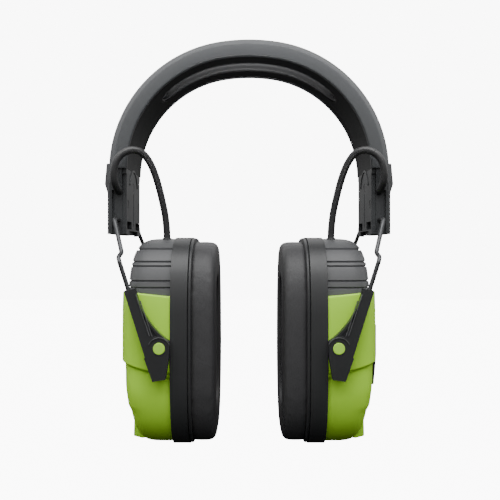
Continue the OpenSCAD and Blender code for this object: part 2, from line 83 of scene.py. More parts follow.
class Surface:
    """A Principled material that is built up in steps."""

    def __init__(self, name, roughness, **settings):
        self.material = bpy.data.materials.new(name)
        self.material.use_nodes = True
        self.tree = self.material.node_tree
        self.shader = self.tree.nodes["Principled BSDF"]
        node_input(self.shader, "Roughness", roughness)
        for key, value in settings.items():
            node_input(self.shader, key.replace("_", " "), value)
        self.place = self.tree.nodes.new("ShaderNodeTexCoord").outputs["Object"]
        self.height = None

    def link(self, a, b):
        self.tree.links.new(a, b)

    def noise(self, scale, detail=3.0, stretch=None):
        """A noise value. Its scale is in features per metre."""
        node = self.tree.nodes.new("ShaderNodeTexNoise")
        node.inputs["Scale"].default_value = scale
        node.inputs["Detail"].default_value = detail
        source = self.place
        if stretch:
            mapping = self.tree.nodes.new("ShaderNodeMapping")
            mapping.inputs["Scale"].default_value = stretch
            self.link(source, mapping.inputs["Vector"])
            source = mapping.outputs["Vector"]
        self.link(source, node.inputs["Vector"])
        return node.outputs["Fac"]

    def cells(self, scale):
        """The distance to the nearest cell's middle, for pores and foam."""
        node = self.tree.nodes.new("ShaderNodeTexVoronoi")
        node.inputs["Scale"].default_value = scale
        self.link(self.place, node.inputs["Vector"])
        return node.outputs["Distance"]

    def spread(self, value, low, high):
        """A 0 to 1 value mapped onto low to high."""
        node = self.tree.nodes.new("ShaderNodeMapRange")
        node.inputs["To Min"].default_value = low
        node.inputs["To Max"].default_value = high
        self.link(value, node.inputs["Value"])
        return node.outputs["Result"]

    def colour(self, rgb, variation=0.06, scale=60.0):
        """A base colour that drifts a little in brightness over the surface."""
        node = self.tree.nodes.new("ShaderNodeMix")
        node.data_type = "RGBA"
        low, high = 1 - variation, 1 + variation
        node.inputs["A"].default_value = (*[c * low for c in rgb], 1)
        node.inputs["B"].default_value = (*[min(1, c * high) for c in rgb], 1)
        self.link(self.noise(scale), node.inputs["Factor"])
        self.link(node.outputs["Result"], self.shader.inputs["Base Color"])
        return self

    def mottled(self, low, high, scale=90.0):
        """Roughness that wanders between two values."""
        self.link(self.spread(self.noise(scale), low, high), self.shader.inputs["Roughness"])
        return self

    def bump(self, value, depth):
        """Adds relief of a depth in millimetres, on top of any before it."""
        node = self.tree.nodes.new("ShaderNodeBump")
        node.inputs["Strength"].default_value = 1.0
        node.inputs["Distance"].default_value = depth * MM
        self.link(value, node.inputs["Height"])
        if self.height:
            self.link(self.height, node.inputs["Normal"])
        self.height = node.outputs["Normal"]
        self.link(self.height, self.shader.inputs["Normal"])
        return self


def moulded(name, rgb, low, high, grain=2600.0, depth=0.02, **settings):
    """Spark-eroded moulded plastic: a fine grain, with a slow drift in tone and gloss."""
    surface = Surface(name, low, **settings).colour(rgb).mottled(low, high)
    surface.bump(surface.noise(grain, 2.0), depth)
    return surface.bump(surface.noise(240.0, 1.0), depth * 0.8).material


def metal(name, rgb, low, high, drawn=(1.0, 1.0, 1.0)):
    """Metal with a fine grain, which drawn stretches along an axis."""
    surface = Surface(name, low, Metallic=1.0).colour(rgb, 0.08, 200.0).mottled(low, high, 400.0)
    return surface.bump(surface.noise(1500.0, 2.0, drawn), 0.01).material


def vinyl():
    """A smooth vinyl skin over foam, with fine leather-like creasing."""
    surface = Surface("cushion_vinyl", 0.5, Specular_IOR_Level=0.4).colour((0.048, 0.048, 0.05), 0.1)
    surface.mottled(0.42, 0.56)
    surface.bump(surface.cells(1400.0), 0.05)
    return surface.bump(surface.noise(130.0, 2.0), 0.25).material


def foam():
    """Dark foam with open cells."""
    surface = Surface("open_foam", 0.95).colour((0.05, 0.05, 0.053), 0.3, 900.0)
    return surface.bump(surface.cells(900.0), 0.5).material


MATERIALS = {
    "band": moulded("band_plastic", (0.072, 0.076, 0.08), 0.4, 0.5),
    "band_pad": moulded("pad_rubber", (0.008, 0.008, 0.0085), 0.55, 0.68, depth=0.03),
    "cap": moulded("cap_plastic", (0.034, 0.036, 0.038), 0.36, 0.46),
    "arm": moulded("arm_plastic", (0.025, 0.026, 0.027), 0.36, 0.46),
    "dome": moulded("dome_plastic", (0.085, 0.087, 0.09), 0.42, 0.52),
    "rim": moulded("rim_plastic", (0.03, 0.031, 0.032), 0.36, 0.48),
    "plate": moulded("plate_plastic", (0.03, 0.031, 0.032), 0.36, 0.48),
    "shell": moulded("shell_plastic", (0.46, 0.88, 0.05), 0.42, 0.52, Specular_IOR_Level=0.3),
    "pin": moulded("pin_plastic", (0.46, 0.86, 0.08), 0.36, 0.46),
    "keypad": moulded("keypad_rubber", (0.016, 0.016, 0.017), 0.5, 0.62, depth=0.03),
    "jack": moulded("jack_plastic", (0.01, 0.01, 0.01), 0.3, 0.4),
    "sleeve": moulded("sleeve_rubber", (0.04, 0.04, 0.041), 0.34, 0.44),
    "speaker": moulded("speaker_plastic", (0.08, 0.085, 0.09), 0.4, 0.5),
    "tray": moulded("tray_plastic", (0.02, 0.02, 0.022), 0.4, 0.5),
    "board": moulded("board_lacquer", (0.012, 0.09, 0.04), 0.15, 0.25),
    "cell": moulded("cell_wrap", (0.35, 0.25, 0.06), 0.2, 0.3),
    "wire": metal("wire_steel", (0.085, 0.087, 0.09), 0.44, 0.54),
    "spring_steel": metal("strip_steel", (0.4, 0.41, 0.42), 0.25, 0.35, (1.0, 8.0, 1.0)),
    "screw": metal("screw_zinc", (0.45, 0.46, 0.47), 0.25, 0.35),
    "dark_screw": metal("screw_black", (0.05, 0.05, 0.052), 0.35, 0.45),
    "contact": metal("contact_nickel", (0.6, 0.58, 0.52), 0.15, 0.25),
    "microphone": metal("microphone_can", (0.45, 0.46, 0.47), 0.25, 0.35),
    "cushion": vinyl(),
    "foam": foam(),
}
MATERIALS["hood"] = MATERIALS["shell"]

BODY_OF = {n: body for body, nodes in frame["record"]["behaviour"]["bodies"].items() for n in nodes}
SLOT_OF = {row["node"]: row["material_slot"] for row in frame["record"]["subparts"]}


def give_material(piece, slot):
    piece.data.materials.clear()
    piece.data.materials.append(MATERIALS[slot])


for name, slot in SLOT_OF.items():
    give_material(frame["nodes"][name], slot)

# ---------- mesh helpers ----------

WELD_DISTANCE = 0.002 * MM


def add_object(name, mesh):
    piece = bpy.data.objects.new(name, mesh)
    bpy.context.collection.objects.link(piece)
    return piece


def make_mesh(name, points, faces, side=1, smooth=True):
    """A mesh in the frame from points of the right side, mirrored for the left."""
    mesh = bpy.data.meshes.new(name)
    if side < 0:
        faces = [tuple(reversed(face)) for face in faces]
    mesh.from_pydata([(side * x * MM, y * MM, z * MM) for x, y, z in points], [], faces)
    mesh.polygons.foreach_set("use_smooth", [smooth] * len(mesh.polygons))
    mesh.update()
    return add_object(name, mesh)


def grid_faces(rows, cols, first=0, wrap_rows=False, wrap_cols=False):
    """The quads of a grid of points that is stored row by row."""
    return [
        (first + i * cols + j, first + i * cols + (j + 1) % cols,
         first + (i + 1) % rows * cols + (j + 1) % cols, first + (i + 1) % rows * cols + j)
        for i in range(rows if wrap_rows else rows - 1)
        for j in range(cols if wrap_cols else cols - 1)
    ]


def face_outward(piece):
    """Turns all of a closed piece's faces outward."""
    edit = bmesh.new()
    edit.from_mesh(piece.data)
    bmesh.ops.recalc_face_normals(edit, faces=edit.faces)
    edit.to_mesh(piece.data)
    edit.free()


def apply_modifiers(piece):
    """Replaces a piece's mesh with what its modifiers make of it."""
    bpy.context.view_layer.update()
    evaluated = piece.evaluated_get(bpy.context.evaluated_depsgraph_get())
    mesh = bpy.data.meshes.new_from_object(evaluated)
    piece.modifiers.clear()
    piece.data = mesh


def shade_smooth(piece):
    piece.data.polygons.foreach_set("use_smooth", [True] * len(piece.data.polygons))


def add_remesh(piece, voxel):
    """Gives a piece an even skin of voxels of a size in millimetres."""
    remesh = piece.modifiers.new("remesh", "REMESH")
    remesh.mode = "VOXEL"
    remesh.voxel_size = voxel * MM


def add_smooth(piece, times):
    piece.modifiers.new("smooth", "SMOOTH").iterations = times


def finish_piece(piece, node, *more_nodes):
    """Gives a piece its node's material and body, and hides the CAD nodes it stands for."""
    give_material(piece, SLOT_OF[node])
    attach(piece, BODY_OF[node])
    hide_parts(node, *more_nodes)
    return piece


def add_detail(piece, body, slot):
    """A piece that stands for no CAD node of its own."""
    give_material(piece, slot)
    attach(piece, body)
    return piece


def plain_copy(node, cutter=None):
    """A watertight copy of a CAD node, cut if asked."""
    piece = add_object(node + "_soft", frame["nodes"][node].data.copy())
    weld = piece.modifiers.new("weld", "WELD")
    weld.merge_threshold = WELD_DISTANCE
    apply_modifiers(piece)
    if cutter:
        cut_with(piece, cutter)
    return piece


def merge_flat_faces(piece):
    """Joins the triangles of each flat face, so that only true edges are left."""
    edit = bmesh.new()
    edit.from_mesh(piece.data)
    bmesh.ops.remove_doubles(edit, verts=edit.verts, dist=WELD_DISTANCE)
    flat = math.radians(1)
    bmesh.ops.dissolve_limit(edit, angle_limit=flat, verts=edit.verts, edges=edit.edges)
    edit.to_mesh(piece.data)
    edit.free()


def softened(node, edge, segments=2, angle=32):
    """A copy of a CAD node with its sharp edges rounded off."""
    piece = plain_copy(node)
    merge_flat_faces(piece)
    round_edges(piece, edge, segments, angle)
    return finish_piece(piece, node)


def round_edges(piece, edge, segments=2, angle=32):
    """Rounds a piece's sharp edges, with clean shading on its flat faces."""
    bevel = piece.modifiers.new("bevel", "BEVEL")
    bevel.width = edge * MM
    bevel.segments = segments
    bevel.limit_method = "ANGLE"
    bevel.angle_limit = math.radians(angle)
    shade_smooth(piece)
    piece.modifiers.new("normals", "WEIGHTED_NORMAL")
    apply_modifiers(piece)


def extruded(name, near, far, side):
    """A solid between two outlines of the same shape."""
    count = len(near)
    faces = [tuple(range(count)), tuple(reversed(range(count, 2 * count)))]
    faces += [(i, i + count, (i + 1) % count + count, (i + 1) % count) for i in range(count)]
    piece = make_mesh(name, near + far, faces, side)
    face_outward(piece)
    return piece


def prism(name, outline, y0, y1, side=1):
    """A solid between y0 and y1 with an outline of X and Z points."""
    near, far = [[(x, y, z) for x, z in outline] for y in (y0, y1)]
    return extruded(name, near, far, side)


def slab(name, outline, x0, x1, side=1):
    """A solid between x0 and x1 with an outline of Y and Z points."""
    near, far = [[(x, y, z) for y, z in outline] for x in (x0, x1)]
    return extruded(name, near, far, side)


def box_outline(y0, y1, z0, z1):
    return [(y0, z0), (y1, z0), (y1, z1), (y0, z1)]


def cut_with(piece, cutter):
    """Takes a cutter's solid out of a piece."""
    cut = piece.modifiers.new("cut", "BOOLEAN")
    cut.operation = "DIFFERENCE"
    cut.solver = "MANIFOLD"
    cut.object = cutter
    apply_modifiers(piece)
    bpy.data.objects.remove(cutter)


def cut_box(piece, low, high):
    """Takes a box between two corners out of a piece."""
    (x0, y0, z0), (x1, y1, z1) = low, high
    cut_with(piece, slab("cutter", box_outline(y0, y1, z0, z1), x0, x1))


def arc(centre, radius, start, end, steps=10):
    """Points along a circle, from one angle to another in degrees."""
    turns = [math.radians(start + (end - start) * k / steps) for k in range(steps + 1)]
    return [(centre[0] + radius * math.cos(t), centre[1] + radius * math.sin(t)) for t in turns]


def circle(centre, radius, count=32):
    return arc(centre, radius, 0, 360, count)[:-1]


def cut_rod(piece, centre, radius, reach=12):
    """Takes a bore along X out of a piece."""
    x, y, z = centre
    cut_with(piece, slab("cutter", circle((y, z), radius), x - reach, x + reach))


# ---------- cable loops ----------

CABLE_RADIUS = 1.85
CABLE_STEPS = 18
# The route's points are those of the CAD cable, in millimetres on the right side.
CABLE_ROUTE = [
    (67, -13.6, -69.6), (67, -17, -69.6), (67, -20.4, -69.4), (67.3, -23.6, -68),
    (67.8, -26, -65.6), (68, -27.2, -62.4), (67.7, -27.8, -58.9), (66.7, -28, -55.4),
    (64.7, -27.7, -52.4), (61.9, -27.2, -50.3), (58.6, -26.4, -49.3), (55.3, -25, -49.9),
    (52.6, -23.2, -52.2), (50.3, -21.2, -56), (48.4, -19.1, -61.1), (46.8, -17, -67.1),
    (45.4, -15.1, -73.7), (44.2, -13.3, -80.4), (43.5, -12, -87.2), (43.3, -11.2, -92.6),
    (43.3, -11, -97),
]


def smooth_route(points, steps):
    """A Catmull-Rom curve through the points."""
    route = [Vector(p) for p in points]
    last = len(route) - 1
    curve = []
    for i in range(last):
        a, b, c, d = route[max(0, i - 1)], route[i], route[i + 1], route[min(last, i + 2)]
        for k in range(steps):
            t = k / steps
            curve.append(0.5 * (2 * b + (c - a) * t + (2 * a - 5 * b + 4 * c - d) * t * t
                                + (3 * b - a - 3 * c + d) * t ** 3))
    return curve + [route[last]]


def tube_mesh(name, path, radius, side, around=16):
    """A closed tube along a path, each ring turned as little as can be from the last."""
    points, faces = [], []
    up = Vector((1, 0, 0))
    for i, centre in enumerate(path):
        ahead = (path[min(i + 1, len(path) - 1)] - path[max(i - 1, 0)]).normalized()
        up = (up - up.dot(ahead) * ahead).normalized()
        across = ahead.cross(up)
        for k in range(around):
            turn = 2 * math.pi * k / around
            points.append(centre + radius * (math.cos(turn) * up + math.sin(turn) * across))
    faces = grid_faces(len(path), around, wrap_cols=True)
    faces.append(tuple(range(around)))
    faces.append(tuple(reversed(range(len(points) - around, len(points)))))
    piece = make_mesh(name, points, faces, side)
    face_outward(piece)
    return piece


def path_length(path):
    return sum((b - a).length for a, b in zip(path, path[1:]))


def add_cable(side_name):
    """A cable loop in three lengths, cut at thirds of its length."""
    side = SIDES[side_name]
    path = smooth_route(CABLE_ROUTE, CABLE_STEPS)
    third = path_length(path) / 3
    cuts = [0]
    for k in (1, 2):
        cuts.append(next(i for i in range(len(path)) if path_length(path[:i + 1]) >= third * k))
    cuts.append(len(path) - 1)
    for part in range(3):
        stretch = path[cuts[part]:cuts[part + 1] + 1]
        piece = tube_mesh(f"link_cable_{side_name}_{part + 1}", stretch, CABLE_RADIUS, side)
        give_material(piece, "sleeve")
        if part == 0:
            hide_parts("link_cable_" + side_name)
        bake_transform(piece)


for name in SIDES:
    add_cable(name)

# ---------- band ----------

BAND_T = 9.3
BAND_HALF = 21.2
BAND_CHAMFER = 4.9
BAND_EDGE_T = 5.9
BAND_FOOT = 0.1
CHANNEL_HALF = 19.35
CHANNEL_DEPTH = 6.2
# The beads have a radius of 1, so they stand proud of the cover's faces by 1 less this inset.
BEAD_INSET = 0.5
CROWN_R = 98 - BAND_T
SHOULDER_R = 67.6 - BAND_T
CROWN_ANGLE = 9
BAND_END = 89
CROWN_CENTRE = (0, -CROWN_R)
SHOULDER_CENTRE = (
    (CROWN_R - SHOULDER_R) * math.sin(math.radians(CROWN_ANGLE)),
    (CROWN_R - SHOULDER_R) * math.cos(math.radians(CROWN_ANGLE)) - CROWN_R,
)


def band_at(angle, height, y):
    """A point on the band, at an angle from vertical and a height above its underside."""
    over_crown = abs(angle) < CROWN_ANGLE
    centre, radius = (CROWN_CENTRE, CROWN_R) if over_crown else (SHOULDER_CENTRE, SHOULDER_R)
    turn = math.radians(abs(angle))
    x = centre[0] + (radius + height) * math.sin(turn)
    return (math.copysign(x, angle), y, centre[1] + (radius + height) * math.cos(turn))


def arc_from_crown(angle):
    """The length along the underside from the crown, in millimetres."""
    beyond = max(0, abs(angle) - CROWN_ANGLE)
    return math.radians(min(abs(angle), CROWN_ANGLE)) * CROWN_R + math.radians(beyond) * SHOULDER_R


def beaded(corners, inset, steps=4):
    """A closed outline with an arc of radius 1 at each corner, centred an inset in from both faces."""
    outline = []
    for i, corner in enumerate(corners):
        here = Vector(corner)
        before = (Vector(corners[i - 1]) - here).normalized()
        after = (Vector(corners[(i + 1) % len(corners)]) - here).normalized()
        half = before.angle(after) / 2
        reach = inset / math.tan(half)
        start, end = here + before * reach, here + after * reach
        centre = here + (before + after).normalized() * inset / math.sin(half)
        for k in range(steps + 1):
            unit_arm = (start - centre).slerp(end - centre, k / steps)
            outline.append(centre + unit_arm)
    return outline


def sweep_band(name, outline, end_angle, steps):
    """A solid that carries an outline of (height, y) points along the band."""
    angles = [end_angle * i / steps for i in range(-steps, steps + 1)]
    points = [band_at(a, p.x, p.y) for a in angles for p in outline]
    cols = len(outline)
    faces = grid_faces(len(angles), cols, wrap_cols=True)
    faces.append(tuple(range(cols)))
    faces.append(tuple(range(len(points) - cols, len(points))))
    piece = make_mesh(name, points, faces)
    face_outward(piece)
    piece.data.set_sharp_from_angle(angle=math.radians(60))
    return piece


def add_band_cover():
    """The moulded cover: flat on top, chamfered and channelled, with a low bead along every edge."""
    front_half = [
        (BAND_FOOT, -CHANNEL_HALF), (BAND_FOOT, -BAND_HALF), (BAND_EDGE_T, -BAND_HALF),
        (BAND_T, BAND_CHAMFER - BAND_HALF),
    ]
    rear_half = [(height, -y) for height, y in reversed(front_half)]
    channel = [(CHANNEL_DEPTH, CHANNEL_HALF), (CHANNEL_DEPTH, -CHANNEL_HALF)]
    outline = beaded(front_half + rear_half + channel, BEAD_INSET)
    finish_piece(sweep_band("band_cover", outline, BAND_END, 120), "headband_cover")


POCKET_HALF = 7.5
POCKET_DEPTH = 4.6
POCKET_ANGLE = 39
POCKET_ARC = arc_from_crown(POCKET_ANGLE)
POCKET_WALL = 1.1
# Rings down the pocket's wall and across its floor: distance from its middle line, height.
LINING_AND_LIGHT_RINGS = [(7.5, 0.45), (7.25, 1.5), (7.0, 2.6), (6.75, 3.7), (6.2, 4.3), (3.0, 4.35), (0.2, 4.35)]
PAD_HALF = 19.3
PAD_BACK = 5.3


def step_up(value):
    """0 below 0, 1 above 1 and a smooth rise between."""
    t = max(0.0, min(1.0, value))
    return t * t * (3 - 2 * t)


def pocket_height(angle, y):
    """How far the pad's underside is cut away, with steep walls and rounded brinks."""
    past_end = max(0, arc_from_crown(angle) - POCKET_ARC)
    inside = POCKET_HALF - math.hypot(past_end, y)
    return POCKET_DEPTH * step_up(inside / POCKET_WALL + 0.5)


def add_band_pad():
    """The pad's underside as a fine height field, closed by its flat back."""
    half = PAD_HALF
    steps = 230
    angles = [BAND_END * i / steps for i in range(-steps, steps + 1)]
    edge = [(-half, 1.2), (-half, 0.5), (-half + 0.2, 0.15), (-half + 0.6, 0)]
    spaced = [-half + 1.4 + 1.1 * k for k in range(8)]
    across_wall = [-9.2 + 0.3 * k for k in range(12)]
    front = edge + [(y, 0) for y in spaced + across_wall]
    middle = [(-5.6 + 0.8 * k, 0) for k in range(15)]
    section = front + middle + [(-y, h) for y, h in reversed(front)]
    points = [band_at(a, h + pocket_height(a, y), y) for a in angles for y, h in section]
    backs = len(points)
    points += [band_at(a, PAD_BACK, y) for a in angles for y in (-half, half)]
    cols = len(section)
    faces = grid_faces(len(angles), cols)
    for i in range(len(angles) - 1):
        front, back = i * cols, backs + 2 * i
        faces.append((front, front + cols, back + 2, back))
        faces.append((front + cols - 1, back + 1, back + 3, front + 2 * cols - 1))
        faces.append((back, back + 2, back + 3, back + 1))
    piece = make_mesh("band_pad", points, faces)
    face_outward(piece)
    finish_piece(piece, "headband_pad")


def angle_at(length):
    """The angle from the crown of a place a length along the underside."""
    crown = math.radians(CROWN_ANGLE) * CROWN_R
    over = min(abs(length), crown) / CROWN_R + max(0, abs(length) - crown) / SHOULDER_R
    return math.copysign(math.degrees(over), length)


def pocket_ring(half, steps=60, end_steps=12):
    """A loop at a distance from the pocket's middle line, as (length along, y) points."""
    side = [POCKET_ARC * (2 * k / steps - 1) for k in range(steps + 1)]
    turns = [math.pi * (0.5 - k / end_steps) for k in range(1, end_steps)]
    loop = [(length, half) for length in side]
    loop += [(POCKET_ARC + half * math.cos(t), half * math.sin(t)) for t in turns]
    return loop + [(-length, -y) for length, y in loop]


def add_pocket_lining_and_painted_light():
    """The smooth grey wall and floor inside the long pocket, in the lighter dome plastic: partly the
    pocket's own grey, partly painted light on its rear wall.
    """
    points = [band_at(angle_at(length), height, y)
              for half, height in LINING_AND_LIGHT_RINGS for length, y in pocket_ring(half)]
    rows = len(LINING_AND_LIGHT_RINGS)
    faces = grid_faces(rows, len(points) // rows, wrap_cols=True)
    lining_and_light = make_mesh("pocket_lining_and_painted_light", points, faces)
    thick = lining_and_light.modifiers.new("thick", "SOLIDIFY")
    thick.thickness = 0.2 * MM
    thick.offset = 0
    apply_modifiers(lining_and_light)
    face_outward(lining_and_light)
    # The lighter dome grey is partly the pocket's own plastic and partly painted light on the lit rear
    # wall.
    add_detail(lining_and_light, "headband", "dome")


add_band_cover()
add_band_pad()
add_pocket_lining_and_painted_light()

# ---------- end caps, arms and pins ----------

CAP_BACK = 60
CAP_FACE = 63
# Each cut in the inner cap's face goes from one Y to another, from one Z to another, to a depth.
CAP_CUTS = {
    "middle groove": (-0.6, 0.6, -87.5, -69.5, 0.6),
    "wide notch": (-12, 12, -94, -89.8, 2.2),
    "front rebate": (-21, -19.4, -87, -60.5, 3),
    "rear rebate": (19.4, 21, -87, -60.5, 3),
}
CAP_ARCH = (0, -68.5)
CAP_ARCH_RADII = (12, 10.8)
WING_SIDE = 20
WING_OUTLINE = [(70.3, -55.4), (72.7, -55.4), (72.7, -64.2), (71.2, -66.3)]


def add_inner_cap(side_name):
    """The cap's inner plate, with a groove down its middle, a wide notch and a rebate at each edge."""
    side = SIDES[side_name]
    piece = plain_copy("end_cap_inner_" + side_name)
    for *edges, depth in CAP_CUTS.values():
        cut_with(piece, slab("cutter", box_outline(*edges), CAP_BACK, CAP_FACE + depth, side))
    merge_flat_faces(piece)
    round_edges(piece, edge=0.25)
    finish_piece(piece, "end_cap_inner_" + side_name)
    outer, inner = CAP_ARCH_RADII
    arch = arc(CAP_ARCH, outer, 15, 165, 24) + arc(CAP_ARCH, inner, 165, 15, 24)
    ridge = slab("cap_arch_" + side_name, arch, CAP_FACE - 0.4, CAP_FACE + 0.6, side)
    round_edges(ridge, edge=0.2)
    add_detail(ridge, "headband", "cap")


def add_wing_face_highlights(side_name):
    """The bevelled faces at the front and rear of a cap's wing, in the lighter dome grey: a painted
    highlight where the side light catches the bevel.
    """
    thickness = 1.2
    for end, y0 in (("front", -WING_SIDE - thickness), ("rear", WING_SIDE)):
        face = prism(f"cap_wing_{end}_{side_name}", WING_OUTLINE, y0, y0 + thickness, SIDES[side_name])
        round_edges(face, edge=0.15)
        # Painted highlight: the lighter dome grey stands for light on the dark cap's bevel.
        add_detail(face, "headband", "dome")


for name in SIDES:
    softened("end_cap_outer_" + name, edge=0.5, segments=3)
    add_wing_face_highlights(name)
    add_inner_cap(name)
    softened("pivot_pins_" + name, edge=0.35, segments=3)
    softened("cup_rim_" + name, edge=1.1, segments=4)
    softened("cushion_plate_" + name, edge=0.75, segments=3)

ARM_FACE = 43.4
PIN = (43, -147)
BOSS_WEB_RADIUS = 6.1
BOSS_EDGE_RADII = (5.45, 5.1)
WIRE_TOP = (61.76, -107)
WIRE_LEAN = math.radians(17.5)
# The arm's hollow edge is an arc about this centre.
HOLLOW_CENTRE = (15.4, -111.2)
HOLLOW_RADIUS = 39.7
WEB_TOP, WEB_BOTTOM = -129, -140
WEB_OFFSET = -4.4
WEB_DEPTH = 0.9
RIB_TOP, RIB_BOTTOM = -121, -141
RIB_OFFSETS = (-2.9, -4.0)


def beside_wire(z, offset):
    """A point of an arm's face, offset square to the wire from where the wire runs at height z."""
    x = WIRE_TOP[0] + (z - WIRE_TOP[1]) * math.tan(WIRE_LEAN)
    return x + offset / math.cos(WIRE_LEAN), z


def add_arm(side_name, end, front):
    """An arm with a sunk web, two ribs along its wire channel and a raised edge round its boss; the ribs
    and the boss edge are in the lighter dome grey, painted highlights where their edges catch the light.
    """
    side = SIDES[side_name]
    node = f"yoke_arm_{end}_{side_name}"

    def span(low, high):
        """Distances out from the cup's middle plane, as a range of Y."""
        return (-high, -low) if front else (low, high)

    web = [beside_wire(WEB_TOP, WEB_OFFSET), beside_wire(WEB_BOTTOM, WEB_OFFSET)]
    web += arc(PIN, BOSS_WEB_RADIUS, 62, 84, 3) + arc(HOLLOW_CENTRE, HOLLOW_RADIUS + 1.2, -42, -31, 6)
    piece = plain_copy(node, prism("cutter", web, *span(ARM_FACE - WEB_DEPTH, ARM_FACE + 1), side))
    merge_flat_faces(piece)
    round_edges(piece, edge=0.3, segments=3)
    finish_piece(piece, node)
    raised = span(ARM_FACE - 1, ARM_FACE + 0.45)
    # The ribs and the boss edge take the lighter dome grey: painted highlights on edges of the same dark
    # arm plastic.
    for number, offset in enumerate(RIB_OFFSETS):
        top = RIB_TOP - 3 * number
        rib = [beside_wire(top, offset), beside_wire(top, offset - 0.4),
               beside_wire(RIB_BOTTOM, offset - 0.7), beside_wire(RIB_BOTTOM, offset - 0.3)]
        rib_highlight = prism(f"arm_rib_{end}_{side_name}_{number + 1}", rib, *raised, side)
        round_edges(rib_highlight, edge=0.15)
        add_detail(rib_highlight, "arms_" + side_name, "dome")
    outer, inner = BOSS_EDGE_RADII
    edge = arc(PIN, outer, 20, 160, 20) + arc(PIN, inner, 160, 20, 20)
    ridge = prism(f"arm_boss_edge_{end}_{side_name}", edge, *raised, side)
    round_edges(ridge, edge=0.15)
    add_detail(ridge, "arms_" + side_name, "dome")


for name in SIDES:
    add_arm(name, "front", True)
    add_arm(name, "rear", False)

# ---------- yoke wires ----------

WIRE_RADIUS = 1.12
WIRE_LEG = 41
LEAN_DIR = Vector((math.sin(WIRE_LEAN), 0, math.cos(WIRE_LEAN)))
KINK_END = Vector((WIRE_TOP[0], 41.4, WIRE_TOP[1]))


def add_wire(side_name):
    """The whole spring wire, from one arm up over the swivel bore and down to the other arm."""
    leg_end = KINK_END - LEAN_DIR * (WIRE_LEG / LEAN_DIR.z)
    rear = [
        (67.3, 0, -84.3), (67.3, 12, -84.3), (67.3, 22, -84.3), (67.3, 24.5, -84.3), (67.3, 26.8, -84.3),
        (67.1, 28.8, -85), (66.5, 30.2, -87), (65.4, 31.8, -90.6), (63.9, 34, -95.4), (62.6, 36, -99.4),
        (62.2, 36.9, -101), (62.6, 38.4, -102.2), (62.9, 40, -103.3), KINK_END + 1.6 * LEAN_DIR,
        KINK_END, KINK_END - 2 * LEAN_DIR, KINK_END - 20 * LEAN_DIR, leg_end,
    ]
    front = [(p[0], -p[1], p[2]) for p in reversed(rear[1:])]
    path = smooth_route(front + rear, 6)
    piece = tube_mesh("yoke_wire_bent_" + side_name, path, WIRE_RADIUS, SIDES[side_name])
    finish_piece(piece, "yoke_wire_" + side_name)


for name in SIDES:
    add_wire(name)

# ---------- cups ----------

CUP_Z = -147
RIM_OUTER_X = 38.5
SHELL_HALF_DEPTH = 38.2
SHELL_HALF_HEIGHT = 53.3
SHELL_REACH = 25.9
WALL = 2.2
OVAL_POWER = 3.3
DOME_POWER = 5.5
SEAM_Z = -122.4
TAPER_Z = -155
CREASE_Z = -154.6
CREASE_DEPTH = 1.3
CREASE_WALL = 1.7
CREASE_RETURN = 0.8
CREASE_FADE = 14
CREASE_SLOPE = 0.27


def signed_pow(value, power):
    return math.copysign(abs(value) ** power, value)


def taper(z):
    """The share of its reach that a pod keeps at height z: it thins towards the bottom."""
    return 1 - 0.14 * max(0, TAPER_Z - z) / 45 - 0.04 * step_up((TAPER_Z - 22 - z) / 4)


def pod_x(y, z, b, h, d):
    """How far out a pod of half depth b, half height h and reach d stands at (y, z)."""
    ratio = ((abs(y) / b) ** OVAL_POWER + (abs(z - CUP_Z) / h) ** OVAL_POWER) ** (1 / OVAL_POWER)
    return RIM_OUTER_X + d * taper(z) * max(0, 1 - ratio ** DOME_POWER) ** (1 / DOME_POWER)


def half_width(z, b, h):
    """Half the pod's depth at height z."""
    return b * max(0.0, 1 - (abs(z - CUP_Z) / h) ** OVAL_POWER) ** (1 / OVAL_POWER)


def pod_row(z, b, h, d, cols):
    """A row of points across a pod from front to back."""
    w = max(3.0, half_width(z, b, h))
    row = []
    for j in range(cols + 1):
        y = w * signed_pow(math.sin(math.radians(180 * j / cols - 90)), 2 / DOME_POWER)
        row.append(Vector((pod_x(y, z, b, h, d), y, z)))
    return row


def pushed_in(rows, depth):
    """The rows with each point moved inward along the surface's normal by depth(point)."""
    moved = []
    for i, row in enumerate(rows):
        above, below = rows[max(0, i - 1)], rows[min(len(rows) - 1, i + 1)]
        new_row = []
        for j, point in enumerate(row):
            across = row[min(len(row) - 1, j + 1)] - row[max(0, j - 1)]
            down = below[j] - above[j]
            normal = across.cross(down)
            if normal.length < 1e-9:
                normal = Vector((1, 0, 0))
            normal.normalize()
            roughly_out = Vector((1, point.y / 40, (point.z - CUP_Z) / 60))
            if normal.dot(roughly_out) < 0:
                normal.negate()
            new_row.append(point - normal * depth(point))
        moved.append(new_row)
    return moved


def closed_shell(name, outer, inner, side):
    """A skin between two grids, closed round its border."""
    rows, cols = len(outer), len(outer[0])
    count = rows * cols
    points = [p for row in outer for p in row] + [p for row in inner for p in row]
    faces = grid_faces(rows, cols)
    faces += [tuple(reversed(f)) for f in grid_faces(rows, cols, count)]
    border = [(0, j) for j in range(cols)] + [(i, cols - 1) for i in range(1, rows)]
    border += [(rows - 1, j) for j in range(cols - 2, -1, -1)]
    border += [(i, 0) for i in range(rows - 2, 0, -1)]
    ring = [i * cols + j for i, j in border]
    for a, b in zip(ring, ring[1:] + ring[:1]):
        faces.append((b, a, a + count, b + count))
    piece = make_mesh(name, points, faces, side)
    face_outward(piece)
    piece.data.set_sharp_from_angle(angle=math.radians(50))
    return piece


def heights(top, bottom, step):
    """Heights from top to bottom, about a step apart."""
    count = max(2, round((top - bottom) / step))
    return [top + (bottom - top) * i / count for i in range(count + 1)]


def groove(distance, half, depth):
    """A groove's depth at a distance from its middle."""
    return depth * step_up(1.5 - abs(distance) / half)


GROOVE_HALF = 0.35
# The height and depth of each groove round the dome.
DOME_GROOVES = {-99.3: 1.2, -105.7: 0.7, -108.0: 0.7, -115.2: 0.7, -118.5: 0.7}


